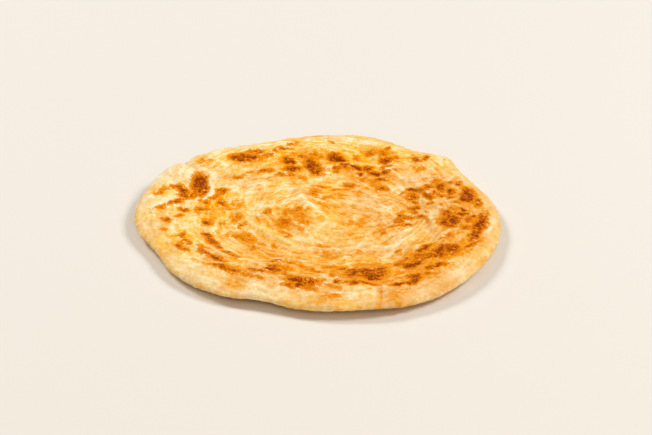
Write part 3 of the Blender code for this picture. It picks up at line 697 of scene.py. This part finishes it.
def veins(x, y):
    """1 along the thin raised lines where sheets of dough overlap, 0 between them."""
    run = np.stack([x / VEIN_LENGTH, y / VEIN_LENGTH, fibre_field(x, y) / VEIN_PITCH], -1)
    wave = np.array([noise.noise(place) for place in run])
    shows = ramp(lumps(x, y, VEIN_PATCH_LENGTH, VEIN_PATCH_SEED), *VEIN_PATCH_EDGE)
    return bell(wave, VEIN_SHARPNESS) * shows


def fine_relief(x, y):
    """What is too small for the solid."""
    return bubbles(x, y) + FIBRE_HEIGHT * fibres(x, y) + VEIN_HEIGHT * veins(x, y) + uneven(x, y, CRUMBS)


def area(x, y, row, wider=0):
    """One mark or area, given by its table's row, as a value that fades from its middle outwards."""
    place_x, place_y, half_length, half_width, turn, amount = row
    place = place_x * MM, place_y * MM
    return swelling(x, y, place, half_length * MM + wider, half_width * MM + wider, turn, amount)


def heat_of(x, y):
    """How hard the pan toasted each place: 0 where it didn't, 1 where it scorched the dough."""
    for length, wander, seed_x, seed_y in MARK_WANDERS:
        x, y = x + wander * lumps(x, y, length, seed_x), y + wander * lumps(x, y, length, seed_y)
    core, halo = np.zeros_like(x), np.zeros_like(x)
    for mark in PAN_MARKS:
        core = np.maximum(core, area(x, y, mark))
        halo = np.maximum(halo, area(x, y, mark, HALO_WIDTH))
    return core + HALO_HEAT * halo * (1 - core)


def crest_of(x, y):
    """About 1 on a sharp crest, -1 in a sharp hollow: the height against that of the places round it."""
    height = relief(x, y)
    for step_x, step_y in ((1, 0), (0, 1), (-1, 0), (0, -1)):
        height -= relief(x + step_x * CREST_REACH, y + step_y * CREST_REACH) / 4
    return np.clip(height / CREST_HEIGHT, -1, 1)


def gold_and_painted_light_of(x, y):
    """How golden the dough between the pan marks is, from 0 to 1, with painted highlight and shade in it.
    """
    total = GOLD_LEVEL + uneven(x, y, GOLD_LUMPS)
    for row in GOLDEN_AND_LIGHT_AREAS:
        total += area(x, y, row)
    edge = layers_show(x, y) * bell(layer_turns(x, y) % 1 - LAYER_STEP_SHARE, LAYER_EDGE_WIDTH)
    # Crests paler, partly as painted highlight; hollows more golden and darker as painted shade
    pale_and_painted_light = CREST_PALENESS_AND_HIGHLIGHT * crest_of(x, y) + VEIN_PALENESS * veins(x, y) + LAYER_EDGE_PALENESS * edge
    return total - pale_and_painted_light


def fat_and_painted_light_of(x, y):
    """How much of the fat each place took up, from 0 to 1, with painted light and shade in it."""
    total = FAT_LEVEL + uneven(x, y, FAT_LUMPS)
    for row in FAT_AND_LIGHT_AREAS:
        total += area(x, y, row)
    return total


def cooked(places, on_top):
    """What the material reads at each vertex: heat, gold, fat, how patchy the gold is, and the fibre field.

    Underneath is the top's pattern, turned over. The gold and the fat carry some painted highlight and
    shade.
    """
    x, y = places[:, 0], places[:, 1]
    share = np.hypot(x, y) / outline(np.degrees(np.arctan2(y, x)))
    inside = 1 - ramp(share, *PALE_RIM_SHARE)
    cos, sin = TURNING_OVER
    turned_x = np.where(on_top, x, cos * x + sin * y)
    turned_y = np.where(on_top, y, sin * x - cos * y)
    heat = heat_of(turned_x, turned_y) * (1 - VEIN_SPARED * veins(turned_x, turned_y)) * inside
    gold = gold_and_painted_light_of(turned_x, turned_y) * (RIM_GOLD + (1 - RIM_GOLD) * inside)
    # Painted warm shade: the rim's side is made more golden
    gold += PAINTED_RIM_SHADE_GOLD * ramp(share, *PAINTED_RIM_SHADE_SHARE)
    fat = fat_and_painted_light_of(turned_x, turned_y) - DRY_RIM * (1 - inside)
    patchy = RIM_PATCHINESS + (1 - RIM_PATCHINESS) * inside
    return {"toast": heat, "gold": gold, "fat": fat, "patchy": patchy, "fibre": fibre_field(x, y)}


def stitched(first, second):
    """Triangles between two rings of vertex numbers, whose lengths may differ."""
    steps = [((k + 0.5) / len(one), one is second, k) for one in (first, second) if len(one) > 1
             for k in range(len(one))]
    at_first = at_second = 0
    faces = []
    for _, on_second, k in sorted(steps):
        if on_second:
            faces.append((second[k], second[(k + 1) % len(second)], first[at_first % len(first)]))
            at_second += 1
        else:
            faces.append((second[at_second % len(second)], first[(k + 1) % len(first)], first[k]))
            at_first += 1
    return faces


def sheet_shares(spacing):
    """Even steps from the middle out to where the nose starts."""
    return np.linspace(0, 1, round(MEAN_RADIUS / spacing) + 1)


def bread_mesh(settings):
    """The whole closed skin: top from the middle out, round the nose, and back in underneath."""
    rings = [ring(share, 90, settings.top_spacing) for share in sheet_shares(settings.top_spacing)]
    rings += [ring(1, slope, settings.top_spacing) for slope in NOSE_SLOPES]
    top_count = sum(len(one) for one in rings)
    inwards = sheet_shares(settings.under_spacing)[::-1]
    rings += [ring(share, -90, settings.under_spacing) for share in inwards]
    places = np.vstack(rings)
    cooking = cooked(places, np.arange(len(places)) < top_count)
    lowest, highest = places.min(0), places.max(0)
    places -= ((lowest[0] + highest[0]) / 2, (lowest[1] + highest[1]) / 2, lowest[2])
    ends = np.cumsum([0] + [len(one) for one in rings])
    numbers = [range(start, end) for start, end in zip(ends, ends[1:])]
    faces = [face for first, second in zip(numbers, numbers[1:]) for face in stitched(first, second)]
    mesh = bpy.data.meshes.new("paratha bread")
    mesh.from_pydata(places.tolist(), [], faces)
    for name, values in cooking.items():
        mesh.attributes.new(name, "FLOAT", "POINT").data.foreach_set("value", values)
    mesh.shade_smooth()
    return mesh


def add_node(tree, kind, inputs=(), **settings):
    """Adds a node with its settings. An input takes a value or another node's output."""
    made = tree.nodes.new(kind)
    for name, value in settings.items():
        setattr(made, name, value)
    for name, value in dict(inputs).items():
        if isinstance(value, bpy.types.NodeSocket):
            tree.links.new(value, made.inputs[name])
        else:
            made.inputs[name].default_value = value
    return made


def per_metre(millimetres):
    """A noise scale that gives lumps of that size."""
    return 1000 / millimetres


def toasted_dough(settings):
    """Wheat dough fried on a hot pan with a little fat.

    Its flour gives a soft, slightly translucent cream, tan where it stayed dry and yellow where the fat
    soaked in; in broad areas that yellow and tan are also painted light and painted shade, and crests carry
    a painted highlight. Where it touched the pan the sugars browned, in mottled spots with orange edges.
    The fat leaves a low, uneven, faintly yellow gloss, duller on the brown.
    """
    material = bpy.data.materials.new("toasted wheat dough")
    material.use_nodes = True
    tree = material.node_tree
    shader = tree.nodes["Principled BSDF"]
    place = add_node(tree, "ShaderNodeTexCoord").outputs["Object"]
    values = {}
    for name in ("toast", "gold", "fat", "patchy", "fibre"):
        values[name] = add_node(tree, "ShaderNodeAttribute", attribute_name=name).outputs["Fac"]

    # The strands' own place: drawn out along the fibres, and narrow across them
    stretched = add_node(tree, "ShaderNodeVectorMath", {
        0: place, 1: (1 / STRAND_LENGTH, 1 / STRAND_LENGTH, 0),
    }, operation="MULTIPLY").outputs[0]
    across = add_node(tree, "ShaderNodeCombineXYZ", {"Z": values["fibre"]}).outputs[0]
    run = add_node(tree, "ShaderNodeVectorMath", {
        0: across, 1: (0, 0, 1 / STRAND_WIDTH), 2: stretched,
    }, operation="MULTIPLY_ADD").outputs[0]

    # Noises between about -0.5 and 0.5
    for name, vector, scale, detail in (
        ("patch", place, per_metre(9), 3),
        ("mottle", place, per_metre(3.2), 4),
        ("speck", place, per_metre(1.5), 2),
        ("grain", place, per_metre(0.8), 2),
        ("strand", run, per_metre(1), 3),
    ):
        pattern = add_node(tree, "ShaderNodeTexNoise", {
            "Vector": vector, "Scale": scale, "Detail": detail,
        }).outputs["Fac"]
        centred = add_node(tree, "ShaderNodeMath", {0: pattern, 1: 0.5}, operation="SUBTRACT")
        values[name] = centred.outputs[0]

    # Sums of those, each a start and what every part is multiplied by
    for name, total, weights in (
        ("level", 0.15, {"gold": 0.82}),
        ("mottling", 0.0, {"patch": 1.1, "mottle": 1.1, "strand": 1.2, "speck": 0.7, "grain": 0.5}),
        ("fatty", 0.0, {"fat": 1.0, "mottle": 1.0, "speck": 0.5, "grain": 0.3}),
        ("swing", 1.02, {"mottle": 1.9, "speck": 1.7, "grain": 1.7, "strand": 1.0}),
        ("reach", 0.95, {"mottle": 2.0, "speck": 1.4, "grain": 0.8, "strand": 1.0}),
        ("dullness", 0.0, {"patch": 1.0, "toast": 0.3}),
        ("pores", 0.0, {"speck": 0.5, "strand": 0.7, "grain": 0.25}),
    ):
        for part, weight in weights.items():
            total = add_node(tree, "ShaderNodeMath", {0: values[part], 1: weight, 2: total},
                             operation="MULTIPLY_ADD").outputs[0]
        values[name] = total
    values["golden"] = add_node(tree, "ShaderNodeMath", {
        0: values["mottling"], 1: values["patchy"], 2: values["level"],
    }, operation="MULTIPLY_ADD").outputs[0]
    for name, part in (("toasted", "swing"), ("warmed", "reach")):
        values[name] = add_node(tree, "ShaderNodeMath", {0: values[part], 1: values["toast"]},
                                operation="MULTIPLY").outputs[0]

    skins = []
    for name, ramps in (("golden", GOLDEN_COLOURS), ("toasted", TOASTED_COLOURS)):
        dry_and_fatty = []
        for stops in ramps:
            made = add_node(tree, "ShaderNodeValToRGB", {"Fac": values[name]})
            elements = made.color_ramp.elements
            for at in list(stops.values())[1:-1]:
                elements.new(at)
            for element, (colour, at) in zip(elements, stops.items()):
                element.position = at
                element.color = (*getattr(settings, colour + "_colour"), 1)
            dry_and_fatty.append(made.outputs["Color"])
        # The fat mixes the dry and the fatty skins; in broad areas this mix is painted light and painted
        # shade
        skin = add_node(tree, "ShaderNodeMix", {
            "Factor": values["fatty"], "A": dry_and_fatty[0], "B": dry_and_fatty[1],
        }, data_type="RGBA")
        skins.append(skin.outputs["Result"])
    browned = add_node(tree, "ShaderNodeMapRange", {
        "Value": values["warmed"], "From Min": BROWNING[0], "From Max": BROWNING[1],
    }, interpolation_type="SMOOTHSTEP")
    crust = add_node(tree, "ShaderNodeMix", {
        "Factor": browned.outputs[0], "A": skins[0], "B": skins[1],
    }, data_type="RGBA")
    tree.links.new(crust.outputs["Result"], shader.inputs["Base Color"])

    gloss = add_node(tree, "ShaderNodeMapRange", {
        "Value": values["dullness"], "From Min": DULLNESS[0], "From Max": DULLNESS[1],
        "To Min": settings.roughness + ROUGHNESS_CHANGE[0],
        "To Max": settings.roughness + ROUGHNESS_CHANGE[1],
    })
    tree.links.new(gloss.outputs[0], shader.inputs["Roughness"])
    bump = add_node(tree, "ShaderNodeBump", {
        "Height": values["pores"], "Distance": PORE_DEPTH, "Strength": PORE_STRENGTH,
    })
    tree.links.new(bump.outputs[0], shader.inputs["Normal"])
    shader.inputs["Specular IOR Level"].default_value = FAT_GLOSS
    shader.inputs["Specular Tint"].default_value = (*settings.fat_colour, 1)
    shader.inputs["Subsurface Weight"].default_value = GLOW_SHARE
    shader.inputs["Subsurface Radius"].default_value = GLOW_REACH
    shader.inputs["Subsurface Scale"].default_value = GLOW_DEPTH
    return material


def colour_property(name, description, hex_colour):
    """A colour that a user may change. Its default is given as sRGB hex."""
    return FloatVectorProperty(
        name=name, description=description, default=linear(hex_colour), subtype="COLOR", min=0, max=1,
    )


class BreadSettings(bpy.types.PropertyGroup):
    """What a user may change on the bread."""

    top_spacing: FloatProperty(
        name="Top spacing", description="Distance between the mesh's rings on the top and the rim",
        default=0.00075, min=0.0005, max=0.005, unit="LENGTH",
    )
    under_spacing: FloatProperty(
        name="Underside spacing", description="Distance between the mesh's rings underneath",
        default=0.0020, min=0.0005, max=0.01, unit="LENGTH",
    )
    floury_colour: colour_property(
        "Floury dough", "Colour of the thinnest crests, which stayed the palest", "#FFEFC6",
    )
    pale_dry_colour: colour_property(
        "Pale dry dough", "Colour of dry dough that stood clear of the pan", "#FBE2B2",
    )
    dough_dry_colour: colour_property("Dry dough", "Colour of the drier skin", "#F3C888")
    golden_dry_colour: colour_property(
        "Golden dry dough", "Colour of the drier skin that cooked a little more", "#EDB25E",
    )
    amber_dry_colour: colour_property(
        "Amber dry dough", "Colour of the drier skin next to a pan mark", "#EA9F36",
    )
    pale_colour: colour_property(
        "Pale dough", "Colour of fatty dough that stood clear of the pan", "#FFE5A2",
    )
    dough_colour: colour_property("Dough", "Colour of the skin that took up fat", "#FDCB50")
    golden_colour: colour_property(
        "Golden", "Colour of the fatty skin that cooked a little more", "#FBB022",
    )
    amber_colour: colour_property("Amber", "Colour round the pan marks", "#F9A006")
    orange_colour: colour_property("Orange", "Colour of a faint pan mark", "#EA8C00")
    toast_colour: colour_property("Toast", "Colour of a light pan mark", "#D07000")
    brown_colour: colour_property("Brown", "Colour of a strong pan mark", "#AC5200")
    scorch_colour: colour_property("Scorch", "Colour of the darkest spots", "#8E3800")
    fat_colour: colour_property("Fat", "Tint of the fat's sheen", "#FFE0A0")
    roughness: FloatProperty(
        name="Roughness", description="Mean roughness of the skin", default=0.46, min=0.2, max=0.9,
    )


class StudioSettings(bpy.types.PropertyGroup):
    """What a user may change on the floor, the lights and the camera."""

    floor_colour: colour_property("Floor", "Colour of the pale floor", "#E9E6E0")
    camera_elevation: FloatProperty(
        name="Camera elevation", description="Angle of the camera's axis below the horizontal",
        default=math.radians(27.6), subtype="ANGLE",
    )
    camera_roll: FloatProperty(
        name="Camera roll", description="How far the camera is turned round its own axis",
        default=math.radians(1.4), subtype="ANGLE",
    )
    camera_distance: FloatProperty(
        name="Camera distance", description="From the camera to the middle of the bread",
        default=0.9273, unit="LENGTH",
    )


class PARATHA_OT_add_bread(bpy.types.Operator):
    """Adds the bread over its solid"""

    bl_idname = "paratha.add_bread"
    bl_label = "Add the bread"

    def execute(self, context):
        settings = context.scene.paratha_bread
        bread = bpy.data.objects.new("paratha_bread", bread_mesh(settings))
        bread.data.materials.append(toasted_dough(settings))
        context.scene.collection.objects.link(bread)
        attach(bread, "root")
        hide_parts("paratha")
        return {"FINISHED"}


class PARATHA_OT_add_stage(bpy.types.Operator):
    """Adds the floor, the lights and the camera"""

    bl_idname = "paratha.add_stage"
    bl_label = "Add the studio"

    def execute(self, context):
        settings = context.scene.paratha_studio
        self.add_floor(context, settings)
        self.add_lights(context)
        self.add_room(context)
        self.add_camera(context, settings)
        return {"FINISHED"}

    def add_floor(self, context, settings):
        """A floor of matt paint, which takes the bread's shadow and mirrors nothing."""
        bpy.ops.mesh.primitive_plane_add(size=FLOOR_SIZE)
        floor = context.object
        floor.name = "floor"
        material = bpy.data.materials.new("matt painted floor")
        material.use_nodes = True
        shader = material.node_tree.nodes["Principled BSDF"]
        shader.inputs["Base Color"].default_value = (*settings.floor_colour, 1)
        shader.inputs["Roughness"].default_value = FLOOR_ROUGHNESS
        floor.data.materials.append(material)

    def add_lights(self, context):
        """Round soft lights, each turned to the middle of the floor."""
        for name, place, width, watts, colour in LIGHTS:
            lamp = bpy.data.lights.new(name, "AREA")
            lamp.shape = "DISK"
            lamp.size = width
            lamp.energy = watts
            lamp.color = linear(colour)
            light = bpy.data.objects.new(name, lamp)
            light.location = place
            light.rotation_euler = (-Vector(place)).to_track_quat("-Z", "Y").to_euler()
            context.scene.collection.objects.link(light)

    def add_room(self, context):
        """Light from all sides, and colours shown as they are, without a film look."""
        world = bpy.data.worlds.new("soft room")
        world.use_nodes = True
        background = world.node_tree.nodes["Background"]
        background.inputs["Color"].default_value = (*linear(ROOM_COLOUR), 1)
        background.inputs["Strength"].default_value = ROOM_STRENGTH
        context.scene.world = world
        context.scene.view_settings.view_transform = "Standard"

    def add_camera(self, context, settings):
        """The camera is turned and set back so that the target falls on its pixel."""
        back = Vector((0, -math.cos(settings.camera_elevation), math.sin(settings.camera_elevation)))
        level = Vector((1, 0, 0))
        upright = back.cross(level)
        cos, sin = math.cos(settings.camera_roll), math.sin(settings.camera_roll)
        right = cos * level + sin * upright
        up = cos * upright - sin * level
        focal_pixels = LENS / SENSOR * IMAGE_WIDTH
        across = (TARGET_PIXEL[0] - IMAGE_WIDTH / 2) / focal_pixels
        above = (IMAGE_HEIGHT / 2 - TARGET_PIXEL[1]) / focal_pixels
        ray = across * right + above * up - back
        camera = bpy.data.objects.new("camera", bpy.data.cameras.new("camera"))
        camera.data.lens = LENS
        camera.data.sensor_width = SENSOR
        camera.rotation_euler = Matrix((right, up, back)).transposed().to_euler()
        camera.location = TARGET - ray * settings.camera_distance
        context.scene.collection.objects.link(camera)
        context.scene.camera = camera


class PARATHA_PT_panel(bpy.types.Panel):
    """Lists the settings and the operators in the sidebar"""

    bl_label = "Flatbread"
    bl_idname = "PARATHA_PT_panel"
    bl_space_type = "VIEW_3D"
    bl_region_type = "UI"
    bl_category = "Flatbread"

    def draw(self, context):
        for group, operator in (
            ("paratha_bread", PARATHA_OT_add_bread),
            ("paratha_studio", PARATHA_OT_add_stage),
        ):
            settings = getattr(context.scene, group)
            for name in settings.__annotations__:
                self.layout.prop(settings, name)
            self.layout.operator(operator.bl_idname)


CLASSES = (BreadSettings, StudioSettings, PARATHA_OT_add_bread, PARATHA_OT_add_stage, PARATHA_PT_panel)


def register():
    for one in CLASSES:
        bpy.utils.register_class(one)
    bpy.types.Scene.paratha_bread = PointerProperty(type=BreadSettings)
    bpy.types.Scene.paratha_studio = PointerProperty(type=StudioSettings)


def unregister():
    del bpy.types.Scene.paratha_studio
    del bpy.types.Scene.paratha_bread
    for one in reversed(CLASSES):
        bpy.utils.unregister_class(one)


def main():
    register()
    bpy.ops.paratha.add_bread()
    bpy.ops.paratha.add_stage()


if __name__ == "__main__":
    main()
